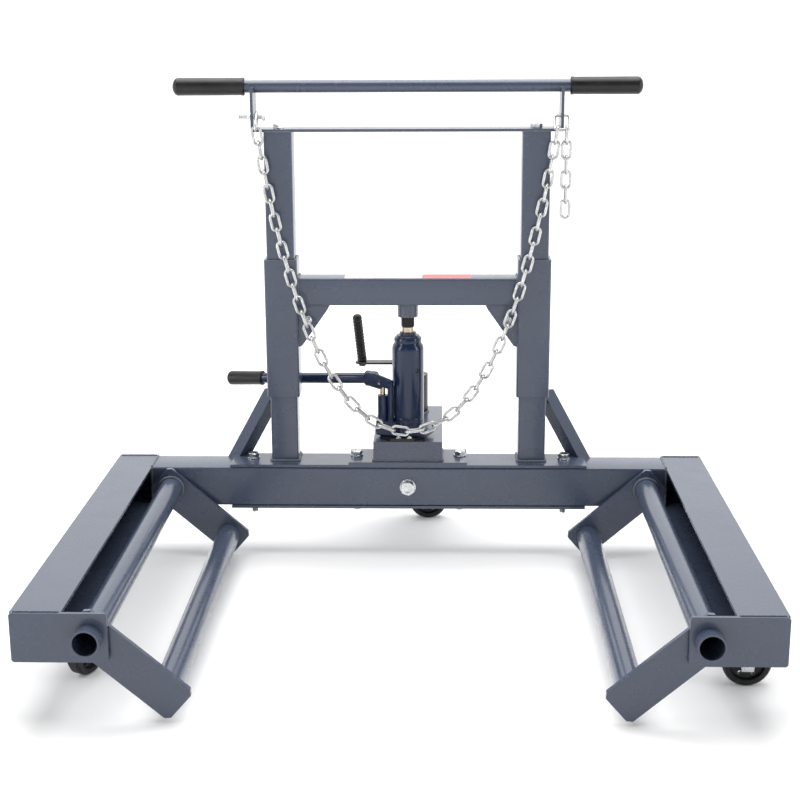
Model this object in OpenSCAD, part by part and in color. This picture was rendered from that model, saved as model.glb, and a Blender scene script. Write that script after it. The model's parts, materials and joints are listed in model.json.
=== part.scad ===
// Hydraulic wheel dolly for paired truck tyres: a U-shaped base on three swivel casters,
// two swing-up roller frames, and a lifting carriage on two posts raised by a bottle jack.
// Units are millimetres. +Z is up, the open ends of the arms face -Y, the floor is z = 0.

/* [Base frame] */
// Overall width across the side channels
base_w = 1104; // [900:2:1300]
// Depth of the arms in front of the crossbeam
arm_len = 700; // [550:10:850]
// Height of the beam top above the floor
beam_top = 173; // [150:1:220]
// Height and depth of the crossbeam tube
beam_h = 75; // [60:5:90]
// Wall of the crossbeam tube
beam_t = 4; // [3:0.5:6]
// Width of the side channel flanges
flange_w = 74; // [60:2:90]
// Thickness of the channel walls
channel_t = 5; // [3:0.5:8]
// Width of the front end plates
end_plate_w = 140; // [110:5:180]
// Thickness of the front end plates
end_plate_t = 6; // [4:1:10]

/* [Mast] */
// Outside size of the square posts
post_w = 50; // [40:5:60]
// Distance between the two post axes
post_pitch = 460; // [360:10:560]
// Length of the posts
post_h = 609; // [500:1:700]
// Outside size of the square sleeves
sleeve_w = 60; // [50:5:75]
// Length of the sleeves
sleeve_h = 256; // [180:2:320]
// Height of the sleeve bottoms with the carriage down
sleeve_z = 303; // [280:1:340]
// Height of the crossbar underside with the carriage down
crossbar_z = 474; // [420:1:520]
// Length of the plates bolted above and below the crossbeam
mast_plate_w = 660; // [600:10:760]

/* [Handle] */
// Length of the handlebar over the grips
handle_w = 834; // [700:2:1000]
// Height of the handlebar axis
handle_z = 865; // [820:1:920]
// Diameter of the handlebar tube
handle_d = 22; // [18:1:28]
// Diameter of the handlebar grips
grip_d = 32; // [28:1:40]
// Length of each handlebar grip
grip_len = 128; // [100:2:160]

/* [Swing frames] */
// Diameter of the pivot tubes
pivot_d = 42; // [32:1:48]
// Diameter of the rollers
roller_d = 42; // [32:1:50]
// Reach from the pivot axis to the roller axis
roller_reach = 138; // [110:1:180]
// Angle of the links below horizontal at rest
link_drop = 41; // [30:1:45]
// Width of the link bars
link_w = 60; // [50:1:70]

/* [Jack] */
// Diameter of the jack cylinder
jack_d = 59; // [50:1:70]
// Diameter of the polished ram
ram_d = 22; // [18:1:28]
// Turn of the pump about the jack axis
jack_turn = -21; // [-30:1:-18]
// Droop of the pump handle at rest
handle_droop = 5; // [0:1:8]

/* [Wheels] */
// Diameter of the caster wheels
wheel_d = 75; // [60:1:90]
// Width of the caster wheels
wheel_w = 24; // [20:1:30]
// Distance of each front swivel axis from the side of the base
caster_inset = 52; // [44:1:54]
// Distance of each front swivel axis behind the front plates
caster_back = 155; // [100:5:220]
// Trail of the caster wheels behind their swivel axes
trail = 26; // [20:1:36]

/* [Chain] */
// Wire diameter of the chain
chain_wire = 5; // [4:0.5:6]
// Pitch of the chain
chain_pitch = 25.9; // [24:0.1:28]
// Number of links on each side of the lowest point
half_links = 25; // [22:1:28]
// Number of links in the free tail
tail_links = 6; // [3:1:8]
// Sag of the chain below its two ends
chain_sag = 550; // [480:1:580]

/* [Hidden] */
$fn = 48;
eps = 0.5;
frame_blue = [0.34, 0.37, 0.43];
jack_blue = [0.16, 0.20, 0.32];
black = [0.06, 0.06, 0.07];
zinc = [0.78, 0.79, 0.80];
half_w = base_w / 2;
beam_z = beam_top - beam_h;
beam_end = half_w - flange_w;
pivot_x = 440;
pivot_z = beam_z + beam_h / 2;
run = 0.08;
tube_wall = 3;
nose = 22;
plate_t = 5;
deck_z = beam_top + plate_t;
post_x = post_pitch / 2;
post_y = 49;
post_top = deck_z + post_h;
bolt_y = 46;
bolt_x = [292, 97];
tongue_w = 128;
tongue_h = 38;
tongue_y = 6;
tongue_len = 259;
tongue_plate_w = 220;
tongue_plate_d = 88;
tongue_z = deck_z + plate_t;
jack_z = tongue_z + tongue_h;
column_x = 10;
column_y = 225;
pin_z = 107;
screw_z = 430;
column_d = 51;
column_top = 298;
leg_x = 272;
anchor_y = 32;
anchor_z = 814;
caster_z = beam_z;
x_shift = (caster_inset - trail - wheel_d / 2) / 2;
y_shift = (arm_len + nose - tongue_y - tongue_len) / 2;
link_len = roller_reach + 30;
link_t = 8;
front_link_y = -arm_len + 10;
rear_link_y = -14;

// ---- helpers ----
module side(s) {
    if (s > 0) children();
    else mirror([1, 0, 0]) children();
}

module tube_y(d, wall, len) {
    rotate([-90, 0, 0]) difference() {
        cylinder(d = d, h = len);
        translate([0, 0, -eps]) cylinder(d = d - 2 * wall, h = len + 2 * eps);
    }
}

module hex_head(af, h) {
    cylinder(d = af / cos(30), h = h, $fn = 6);
}

module square_tube(w, wall, len) {
    linear_extrude(len) difference() {
        square(w, center = true);
        square(w - 2 * wall, center = true);
    }
}

module chamfered(w, h, c) {
    polygon([[c, 0], [w - c, 0], [w, c], [w, h - c], [w - c, h], [c, h], [0, h - c], [0, c]]);
}

// ---- base frame ----
module crossbeam() {
    color(frame_blue) difference() {
        translate([-beam_end, 0, beam_z]) cube([2 * beam_end, beam_h, beam_h]);
        translate([-beam_end - eps, beam_t, beam_z + beam_t])
            cube([2 * beam_end + 2 * eps, beam_h - 2 * beam_t, beam_h - 2 * beam_t]);
        for (s = [-1, 1]) translate([s * pivot_x, -eps, pivot_z])
            rotate([-90, 0, 0]) cylinder(r = pivot_d / 2 + run, h = beam_t + 2 * eps);
        for (s = [-1, 1], x = bolt_x) translate([s * x, bolt_y, beam_z - eps])
            cylinder(d = 13, h = beam_h + 2 * eps);
        translate([0, -eps, pivot_z]) rotate([-90, 0, 0]) cylinder(d = 17, h = beam_t + 2 * eps);
    }
}

module side_channel(s) {
    color(frame_blue) side(s) difference() {
        translate([beam_end, -arm_len + end_plate_t, beam_z])
            cube([flange_w, arm_len - end_plate_t + beam_h, beam_h]);
        translate([beam_end - eps, -arm_len, beam_z + channel_t])
            cube([flange_w - channel_t + eps, arm_len + 2 * beam_h, beam_h - 2 * channel_t]);
    }
}

module front_plate(s) {
    color(frame_blue) side(s) difference() {
        translate([half_w - end_plate_w, -arm_len + end_plate_t, beam_z])
            rotate([90, 0, 0]) linear_extrude(end_plate_t) chamfered(end_plate_w, beam_h, 3);
        translate([pivot_x, -arm_len - eps, pivot_z]) rotate([-90, 0, 0])
            cylinder(r = pivot_d / 2 + run, h = end_plate_t + 2 * eps);
    }
}

module rear_plates() {
    color(frame_blue) for (s = [-1, 1]) side(s) translate([beam_end, beam_h, beam_z])
        cube([flange_w, plate_t, beam_h]);
}

module long_plate(z) {
    difference() {
        translate([-mast_plate_w / 2, 0, z]) cube([mast_plate_w, beam_h, plate_t]);
        for (s = [-1, 1], x = bolt_x) translate([s * x, bolt_y, z - eps])
            cylinder(d = 13, h = plate_t + 2 * eps);
    }
}

module mast_plate() {
    color(frame_blue) long_plate(beam_top);
}

module bottom_plate() {
    color(frame_blue) long_plate(beam_z - plate_t);
}

module bolt_sites() {
    for (s = [-1, 1]) {
        translate([s * bolt_x[0], bolt_y, deck_z]) children();
        translate([s * bolt_x[1], bolt_y, tongue_z]) children();
    }
}

module base_bolts() {
    color(zinc) bolt_sites() union() {
        cylinder(d = 24, h = 2.5);
        translate([0, 0, 2.5]) hex_head(19, 7.5);
        translate([0, 0, -106]) cylinder(d = 12, h = 107);
    }
}

module base_nuts() {
    color(zinc) for (s = [-1, 1], x = bolt_x) translate([s * x, bolt_y, beam_z - plate_t - 10])
        difference() {
            hex_head(19, 10);
            translate([0, 0, -eps]) cylinder(d = 12.1, h = 10 + 2 * eps);
        }
}

module centre_bolt() {
    color(zinc) translate([0, 0, pivot_z]) rotate([90, 0, 0]) union() {
        cylinder(d = 30, h = 3);
        translate([0, 0, 3]) hex_head(24, 10);
        translate([0, 0, -22]) cylinder(d = 16, h = 23);
    }
}

// ---- mast ----
module post(s) {
    color(frame_blue) translate([s * post_x, post_y, deck_z]) difference() {
        translate([0, 0, post_h / 2]) cube([post_w, post_w, post_h], center = true);
        translate([0, 0, post_h / 2 - 6]) cube([post_w - 6, post_w - 6, post_h], center = true);
        translate([0, 0, post_h - 10]) cylinder(d = 13, h = 20);
    }
}

module brace(s) {
    // angle iron, its corner turned to the front, joined to the back of the post by a block
    color(frame_blue) side(s) union() {
        difference() {
            translate([334, 46, beam_top - 20]) rotate([-13.5, -29, 0]) rotate([0, 0, 45])
                difference() {
                    cube([26, 26, 190]);
                    translate([4, 4, -eps]) cube([26, 26, 200]);
                }
            translate([200, -50, beam_top - 60]) cube([250, 250, 60]);
            translate([200, -50, beam_top - eps]) cube([mast_plate_w / 2 - 200, 250, plate_t + eps]);
            translate([100, 0, 298]) cube([300, 200, 100]);
        }
        translate([232, post_y + post_w / 2, 272]) cube([26, 20, 24]);
    }
}

module handle_bracket() {
    reach = 2 * (leg_x + plate_t);
    color(frame_blue) difference() {
        translate([-reach / 2, post_y - post_w / 2, post_top]) cube([reach, post_w, handle_z - post_top]);
        translate([-leg_x, 0, post_top + plate_t]) cube([2 * leg_x, 100, 100]);
        translate([-handle_w / 2, post_y, handle_z]) rotate([0, 90, 0])
            cylinder(d = handle_d, h = handle_w);
        for (s = [-1, 1]) translate([s * post_x, post_y, post_top - eps])
            cylinder(d = 13, h = plate_t + 2 * eps);
        translate([-reach, anchor_y, anchor_z]) rotate([0, 90, 0]) cylinder(d = 9, h = 2 * reach);
    }
}

module handlebar() {
    len = handle_w - 6;
    color(frame_blue) translate([-len / 2, post_y, handle_z]) rotate([0, 90, 0]) difference() {
        cylinder(d = handle_d, h = len);
        translate([0, 0, -eps]) cylinder(d = handle_d - 5, h = len + 2 * eps);
    }
}

module grip(s) {
    r = grip_d / 2;
    color(black) side(s) translate([handle_w / 2 - grip_len, post_y, handle_z]) rotate([0, 90, 0])
        rotate_extrude() difference() {
            union() {
                square([r, grip_len - 8]);
                translate([0, grip_len - 8]) square([r - 8, 8]);
                translate([r - 8, grip_len - 8]) circle(r = 8);
            }
            translate([-2 * r, -eps]) square([2 * r, 2 * grip_len]);
            translate([0, -eps]) square([handle_d / 2, grip_len - 3 + eps]);
        }
}

module post_bolts() {
    color(zinc) for (s = [-1, 1]) translate([s * post_x, post_y, post_top + plate_t]) union() {
        hex_head(19, 7.5);
        translate([0, 0, -24]) cylinder(d = 12, h = 25);
    }
}

module chain_bolt() {
    color(zinc) translate([-leg_x, anchor_y, anchor_z]) rotate([0, 90, 0]) union() {
        translate([0, 0, 15]) hex_head(13, 5.5);
        translate([0, 0, -26]) cylinder(d = 8, h = 42);
        translate([0, 0, -plate_t - 7]) hex_head(13, 7);
    }
}

// ---- tongue and jack ----
module tongue() {
    color(frame_blue) difference() {
        translate([-tongue_w / 2, tongue_y, tongue_z]) cube([tongue_w, tongue_len, tongue_h]);
        translate([-tongue_w / 2 + plate_t, tongue_y + plate_t, tongue_z - eps])
            cube([tongue_w - 2 * plate_t, tongue_len, tongue_h - plate_t + eps]);
        translate([column_x, column_y, tongue_z]) cylinder(d = column_d, h = tongue_h + eps);
        jack_bolt_sites() cylinder(d = 9, h = 30, center = true);
    }
}

module tongue_plate() {
    color(frame_blue) difference() {
        translate([-tongue_plate_w / 2, 0, deck_z]) cube([tongue_plate_w, tongue_plate_d, plate_t]);
        for (s = [-1, 1]) translate([s * bolt_x[1], bolt_y, deck_z - eps])
            cylinder(d = 13, h = plate_t + 2 * eps);
    }
}

module jack_frame() {
    translate([0, post_y, jack_z]) rotate([0, 0, jack_turn]) children();
}

module jack_bolt_sites() {
    for (x = [-17, 3], y = [13, 85]) translate([x, y, jack_z]) children();
}

module jack_foot() {
    color(black) difference() {
        translate([-52, 7, jack_z]) linear_extrude(6) chamfered(84, 84, 20);
        jack_bolt_sites() cylinder(d = 9, h = 30, center = true);
    }
}

module jack_bolts() {
    color(zinc) jack_bolt_sites() union() {
        translate([0, 0, 6]) cylinder(d = 11, h = 5);
        translate([0, 0, -12]) cylinder(d = 8, h = 19);
    }
}

module jack_base() {
    color(jack_blue) jack_frame() translate([0, 0, 6]) union() {
        cylinder(r = 30, h = 28);
        translate([-57, -24, 0]) cube([101, 44, 8]);
        translate([-50, -37, 0]) cube([40, 22, 28]);
        translate([-24, -27, 27]) cylinder(d = 12, h = pin_z - 41);
        translate([-24, -31, pin_z - 6]) rotate([90, 0, 0]) cylinder(d = 6, h = 13);
        translate([-30, -31, pin_z - 16]) cube([11, 8, 14]);
    }
}

module jack_cylinder() {
    r = jack_d / 2;
    color(jack_blue) translate([0, post_y, jack_z + 34]) rotate_extrude()
        polygon([[0, 0], [r, 0], [r, 140], [r - 3, 147], [ram_d / 2 + 3, 147],
            [ram_d / 2 + 3, 6], [0, 6]]);
}

module jack_cap() {
    b = ram_d / 2 + run;
    color(jack_blue) translate([0, post_y, jack_z + 181]) rotate_extrude()
        polygon([[b, 0], [25, 0], [25, 9], [22, 13], [16, 14], [16, 19], [b, 19]]);
}

module oil_plug() {
    color(black) translate([0, post_y, jack_z + 130]) rotate([0, 0, -52]) rotate([0, 90, 0])
        translate([0, 0, jack_d / 2 + 0.05]) cylinder(d1 = 8, d2 = 6, h = 3);
}

module pump_cylinder() {
    color(jack_blue) jack_frame() translate([-40, -27, 34]) difference() {
        union() {
            cylinder(d = 19, h = 48);
            cylinder(d = 19.6, h = 8);
        }
        translate([0, 0, 6]) cylinder(r = 5 + run, h = 60);
    }
}

module pump_plunger() {
    color(zinc) jack_frame() translate([-40, -27, 46]) union() {
        cylinder(d = 10, h = pin_z - 40);
        translate([0, 0, pin_z - 46]) rotate([90, 0, 0]) cylinder(d = 5, h = 17);
    }
}

module lever_frame() {
    jack_frame() translate([-24, -27, pin_z]) rotate([0, -handle_droop, 0]) children();
}

module pump_lever() {
    color(jack_blue) lever_frame() difference() {
        union() {
            translate([-46, -15, -10]) cube([56, 7, 22]);
            translate([-46, -12, -2]) cube([20, 12, 16]);
            translate([-48, 0, 8]) rotate([0, 90, 0]) cylinder(d = 28, h = 22);
        }
        rotate([0, handle_droop, 0]) {
            translate([0, 0, 0]) rotate([90, 0, 0]) cylinder(r = 3 + run, h = 40);
            translate([-21.5, -40, -3.9]) cube([10, 40, 7.8]);
        }
        translate([-60, 0, 8]) rotate([0, 90, 0]) cylinder(d = 20.2, h = 31);
    }
}

module pump_handle() {
    color(jack_blue) lever_frame() translate([-337, 0, 8]) rotate([0, 90, 0]) difference() {
        cylinder(d = 20, h = 307);
        translate([0, 0, -eps]) cylinder(d = 16, h = 300);
    }
}

module handle_grip() {
    color(black) lever_frame() translate([-342, 0, 8]) rotate([0, 90, 0]) difference() {
        union() {
            cylinder(d1 = 20, d2 = 28, h = 5);
            translate([0, 0, 5]) cylinder(d = 28, h = 72);
        }
        translate([0, 0, 5]) cylinder(d = 20, h = 80);
    }
}

// ---- lifting carriage ----
module sleeve(s) {
    color(frame_blue) translate([s * post_x, post_y, sleeve_z]) square_tube(sleeve_w, 4, sleeve_h);
}

module lift_crossbar() {
    len = post_pitch - sleeve_w;
    color(frame_blue) translate([-len / 2, post_y, crossbar_z + post_w / 2]) rotate([0, 90, 0])
        square_tube(post_w, 3, len);
}

module gussets() {
    x1 = post_x - sleeve_w / 2;
    color(frame_blue) for (s = [-1, 1]) side(s) translate([0, post_y - 13, 0]) difference() {
        rotate([90, 0, 0]) linear_extrude(6)
            polygon([[x1, crossbar_z], [x1 - 58, crossbar_z], [x1 - 54, crossbar_z - 8],
                [x1 - 6, crossbar_z - 76], [x1, crossbar_z - 78]]);
        translate([x1 - 17, eps, crossbar_z - 28]) rotate([90, 0, 0]) cylinder(d = 9, h = 8);
    }
}

module gusset_bolts() {
    x = post_x - sleeve_w / 2 - 17;
    color(zinc) for (s = [-1, 1]) translate([s * x, post_y - 19, crossbar_z - 28])
        rotate([90, 0, 0]) union() {
            hex_head(13, 5.5);
            translate([0, 0, -20]) cylinder(d = 8, h = 21);
            translate([0, 0, -12.5]) hex_head(13, 6.5);
        }
}

module ram_socket() {
    color(frame_blue) translate([0, post_y, crossbar_z - 24]) difference() {
        cylinder(d = 38, h = 24);
        translate([0, 0, -eps]) cylinder(d = 18.6, h = 16 + eps);
    }
}

module extension_screw() {
    color(black) translate([0, post_y, screw_z]) union() {
        cylinder(d = 25, h = crossbar_z - 24.3 - screw_z);
        cylinder(d = 18, h = crossbar_z - 10 - screw_z);
    }
}

module ram() {
    color(zinc) translate([0, post_y, 268]) union() {
        cylinder(d = ram_d, h = screw_z - 268);
        cylinder(d = ram_d + 5, h = 10);
    }
}

// ---- jockey wheel ----
module jockey_column() {
    color(black) translate([column_x, column_y, 0]) difference() {
        translate([0, 0, 150]) cylinder(d = column_d, h = column_top - 150);
        translate([0, 0, 150 - eps]) cylinder(d = column_d - 8 + 0.1, h = column_top - 156 + eps);
        cylinder(r = 8 + run, h = 400);
    }
}

module caster_mount() {
    union() {
        translate([-30, -35, -4]) cube([60, 70, 4]);
        translate([0, 0, -8]) cylinder(d = 50, h = 5);
        translate([0, 0, -18]) cylinder(d = 12, h = 12);
        translate([0, 0, -18]) cylinder(d = 20, h = 3.5);
    }
}

module caster_fork() {
    // swivel axis at the origin, wheel trailing towards +X
    gap = wheel_w / 2 + 1.5;
    color(black) difference() {
        union() {
            translate([0, 0, -14]) cylinder(d = 50, h = 5.6);
            for (s = [-1, 1]) side_y(s) translate([0, gap + 3, 0]) rotate([90, 0, 0])
                linear_extrude(3) polygon([[-22, -14], [22, -14], [trail + 11, -52],
                    [trail + 9, wheel_d / 2 - caster_z - 11], [trail - 9, wheel_d / 2 - caster_z - 11],
                    [trail - 13, -50], [-22, -18]]);
            translate([trail, -gap - 3, wheel_d / 2 - caster_z]) rotate([-90, 0, 0])
                cylinder(d = 10, h = 2 * gap + 6);
        }
        translate([0, 0, -30]) cylinder(r = 6 + run, h = 30);
    }
}

module side_y(s) {
    if (s > 0) children();
    else mirror([0, 1, 0]) children();
}

module caster_wheel() {
    r = wheel_d / 2;
    w = wheel_w / 2;
    color(black) translate([trail, 0, r - caster_z]) rotate([90, 0, 0]) difference() {
        rotate_extrude() polygon([[5 + run, -w], [14, -w], [14, -5], [r - 11, -5], [r - 9, -w + 1],
            [r - 3, -w + 1], [r, -w + 5], [r, w - 5], [r - 3, w - 1], [r - 9, w - 1],
            [r - 11, 5], [14, 5], [14, w], [5 + run, w]]);
        for (i = [0:5]) rotate([0, 0, 60 * i]) translate([20, 0, 0]) cylinder(d = 7, h = 30, center = true);
    }
}

module at_caster(s) {
    translate([s * (half_w - caster_inset), caster_back - arm_len, caster_z])
        rotate([0, 0, s > 0 ? 0 : 65]) children();
}

module caster_mounts() {
    color(zinc) for (s = [-1, 1]) translate([s * (half_w - caster_inset), caster_back - arm_len, caster_z])
        caster_mount();
}

module at_jockey() {
    translate([column_x, column_y, caster_z]) children();
}

module jockey_tube() {
    color(zinc) at_jockey() union() {
        difference() {
            cylinder(d = column_d - 8, h = 132);
            translate([0, 0, 6]) cylinder(d = column_d - 16, h = 114);
            translate([0, 0, 60]) cylinder(r = 8 + run, h = 100);
        }
        caster_mount();
    }
}

module crank_arm() {
    color(black) translate([0, column_y, 0]) union() {
        translate([column_x, 0, 200]) cylinder(d = 16, h = 122);
        translate([column_x, 0, column_top + 0.4]) cylinder(d = 26, h = 21);
        translate([-108, -13, 319]) cube([column_x + 122, 26, 4]);
        translate([-94, 0, 322]) rotate([0, -6, 0]) cylinder(d = 8, h = 84);
    }
}

module crank_grip() {
    color(black) translate([-94, column_y, 322]) rotate([0, -6, 0]) difference() {
        union() {
            translate([0, 0, 3]) cylinder(d = 19, h = 92);
            translate([0, 0, 95]) cylinder(d1 = 19, d2 = 16, h = 2);
        }
        translate([0, 0, -1]) cylinder(r = 4 + run, h = 86);
    }
}

// ---- swing frames ----
module link_plate(y) {
    translate([-pivot_x, y + link_t, pivot_z]) rotate([90, link_drop, 0]) linear_extrude(link_t)
        translate([-link_w / 2, -link_w / 2]) chamfered(link_len + link_w / 2, link_w, 7);
}

module swing_frame(s) {
    reach_x = roller_reach * cos(link_drop) - pivot_x;
    reach_z = pivot_z - roller_reach * sin(link_drop);
    color(frame_blue) side(-s) difference() {
        union() {
            translate([-pivot_x, -arm_len - nose, pivot_z]) rotate([-90, 0, 0])
                cylinder(d = pivot_d, h = arm_len + nose + 30);
            link_plate(front_link_y);
            link_plate(rear_link_y);
            translate([reach_x, front_link_y + 1, reach_z]) rotate([-90, 0, 0])
                cylinder(d = 20, h = rear_link_y - front_link_y + 6);
        }
        translate([-pivot_x, -arm_len - nose - eps, pivot_z]) rotate([-90, 0, 0])
            cylinder(d = pivot_d - 2 * tube_wall, h = arm_len + nose + 40);
    }
}

module roller(s) {
    len = rear_link_y - front_link_y - link_t - 3;
    r = roller_d / 2;
    b = 10 + run;
    color(frame_blue) side(-s) translate([roller_reach * cos(link_drop) - pivot_x,
        front_link_y + link_t + 1, pivot_z - roller_reach * sin(link_drop)]) rotate([-90, 0, 0])
        rotate_extrude() polygon([[b, 0], [r, 0], [r, len], [b, len], [b, len - 12],
            [r - 3, len - 12], [r - 3, 12], [b, 12]]);
}

// ---- chain ----
link_gap = 0.3;
link_r = 7.5;
ring_r = 5;
ring_half = 13.5;
ring_len = 29.94;
ring_lean = 40.4;
bow_len = half_links * chain_pitch;
bow_a = (pow(bow_len, 2) - pow(chain_sag, 2)) / (2 * chain_sag);
bow_x = -0.5;
chain_tilt = 2;
ring_x = leg_x + 1.6;
tail_side = 8;
chain_top = [ring_x + tail_side, anchor_y - 19.4, anchor_z - 19.65];
anchor_r = 6.5;
anchor_len = 38.2;
anchor_lean = 50;

function asinh(v) = ln(v + sqrt(v * v + 1));
function bow(i) = [bow_a * asinh(i * chain_pitch / bow_a),
    sqrt(pow(bow_a, 2) + pow(i * chain_pitch, 2)) - bow_a - chain_sag];

// one oval link in the XZ plane, its length along Z
module link(r, len) {
    for (a = [0, 180]) rotate([0, a, 0]) {
        translate([0, 0, len / 2 - r]) rotate([90, 0, 0]) rotate_extrude(angle = 180)
            translate([r, 0]) circle(d = chain_wire, $fn = 24);
        translate([r, 0, r - len / 2]) cylinder(d = chain_wire, h = len - 2 * r, $fn = 24);
    }
}

module chain_link() {
    link(link_r, chain_pitch + link_gap + chain_wire);
}

module chain_loop() {
    color(zinc) translate([bow_x, chain_top[1], chain_top[2]]) rotate([-chain_tilt, 0, 0])
        for (i = [-half_links:half_links - 1]) {
            p = bow(i);
            q = bow(i + 1);
            translate([(p[0] + q[0]) / 2, 0, (p[1] + q[1]) / 2])
                rotate([0, 90 - atan2(q[1] - p[1], q[0] - p[0]), 0])
                rotate([0, 0, i % 2 == 0 ? 90 : 0]) chain_link();
        }
    color(zinc) translate([bow_x - bow(half_links)[0], anchor_y, anchor_z])
        rotate([-anchor_lean, 0, 0]) translate([0, 0, 6.7 - anchor_len / 2])
            rotate([0, 0, 90]) link(anchor_r, anchor_len);
}

module quick_link() {
    // a flat-ended ring: its upper bar lies in the leg's hole, the chain hangs on the lower one
    flat = ring_half - ring_r;
    color(zinc) translate([ring_x, anchor_y, anchor_z]) rotate([-ring_lean, 0, 0])
        translate([0, 0, -ring_len / 2]) for (a = [0, 180]) rotate([0, a, 0]) {
            translate([-flat, 0, ring_len / 2]) rotate([0, 90, 0])
                cylinder(d = chain_wire, h = 2 * flat, $fn = 24);
            for (s = [-1, 1]) side(s) translate([flat, 0, ring_len / 2 - ring_r])
                rotate([90, 0, 0]) rotate_extrude(angle = 90) translate([ring_r, 0])
                    circle(d = chain_wire, $fn = 24);
            translate([ring_half, 0, ring_r - ring_len / 2])
                cylinder(d = chain_wire, h = ring_len - 2 * ring_r, $fn = 24);
        }
}

module chain_tail() {
    color(zinc) for (i = [0:tail_links - 1])
        translate([chain_top[0], chain_top[1], chain_top[2] - chain_pitch * (i + 0.5)])
            rotate([0, 0, i % 2 == 0 ? 90 : 0]) chain_link();
}

module part() {
    translate([x_shift, y_shift, 0]) children();
}

part() crossbeam();
part() side_channel(-1);  // side_channel_left
part() side_channel(1);  // side_channel_right
part() front_plate(-1);  // front_plate_left
part() front_plate(1);  // front_plate_right
part() rear_plates();
part() mast_plate();
part() bottom_plate();
part() post(-1);  // post_left
part() post(1);  // post_right
part() brace(-1);  // brace_left
part() brace(1);  // brace_right
part() handle_bracket();
part() handlebar();
part() grip(-1);  // grip_left
part() grip(1);  // grip_right
part() tongue();
part() tongue_plate();
part() base_bolts();
part() base_nuts();
part() post_bolts();
part() centre_bolt();
part() jack_foot();
part() jack_base();
part() jack_cylinder();
part() jack_cap();
part() oil_plug();
part() pump_cylinder();
part() jack_bolts();
part() jockey_column();
part() caster_mounts();
part() chain_bolt();
part() sleeve(-1);  // sleeve_left
part() sleeve(1);  // sleeve_right
part() lift_crossbar();
part() gussets();
part() gusset_bolts();
part() ram_socket();
part() ram();
part() extension_screw();
part() pump_lever();
part() pump_handle();
part() handle_grip();
part() pump_plunger();
part() jockey_tube();
part() crank_arm();
part() crank_grip();
part() at_jockey() caster_fork();  // jockey_fork
part() at_jockey() caster_wheel();  // jockey_wheel
part() at_caster(-1) caster_fork();  // fork_left
part() at_caster(1) caster_fork();  // fork_right
part() at_caster(-1) caster_wheel();  // wheel_left
part() at_caster(1) caster_wheel();  // wheel_right
part() swing_frame(-1);  // swing_frame_left
part() swing_frame(1);  // swing_frame_right
part() roller(-1);  // roller_left
part() roller(1);  // roller_right
part() quick_link();
part() chain_loop();
part() chain_tail();
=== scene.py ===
"""Looks of the wheel dolly: materials, lights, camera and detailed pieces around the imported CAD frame."""

import json
import math
import random

import bmesh
import bpy
from mathutils import Matrix, Vector


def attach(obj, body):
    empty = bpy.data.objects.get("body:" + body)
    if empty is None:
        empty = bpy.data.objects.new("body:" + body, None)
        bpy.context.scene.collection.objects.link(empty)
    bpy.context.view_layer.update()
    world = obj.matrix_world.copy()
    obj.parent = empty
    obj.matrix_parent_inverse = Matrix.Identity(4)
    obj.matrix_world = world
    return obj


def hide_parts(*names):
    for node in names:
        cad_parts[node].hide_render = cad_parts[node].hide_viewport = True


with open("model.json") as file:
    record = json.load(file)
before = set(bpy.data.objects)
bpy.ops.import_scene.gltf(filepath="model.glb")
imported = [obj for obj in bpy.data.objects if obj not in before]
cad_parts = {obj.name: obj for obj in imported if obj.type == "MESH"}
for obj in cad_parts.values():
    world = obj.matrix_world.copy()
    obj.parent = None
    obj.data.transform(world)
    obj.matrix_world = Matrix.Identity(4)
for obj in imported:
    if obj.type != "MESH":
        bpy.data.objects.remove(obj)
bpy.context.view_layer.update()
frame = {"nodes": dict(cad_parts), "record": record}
NODES = frame["nodes"]
random.seed(7)

MM = 0.001
# Shapes below are given in drawing millimetres: x from the middle of the beam, y from the beam's
# front face, z from the floor. ORIGIN is the drawing's origin in the row frame, in metres.
ORIGIN = Vector((-5.75 * MM, 228.5 * MM, 0.0))


def pt(x, y, z):
    """A point in drawing millimetres, turned into row-frame metres."""
    return Vector((x * MM, y * MM, z * MM)) + ORIGIN


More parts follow.
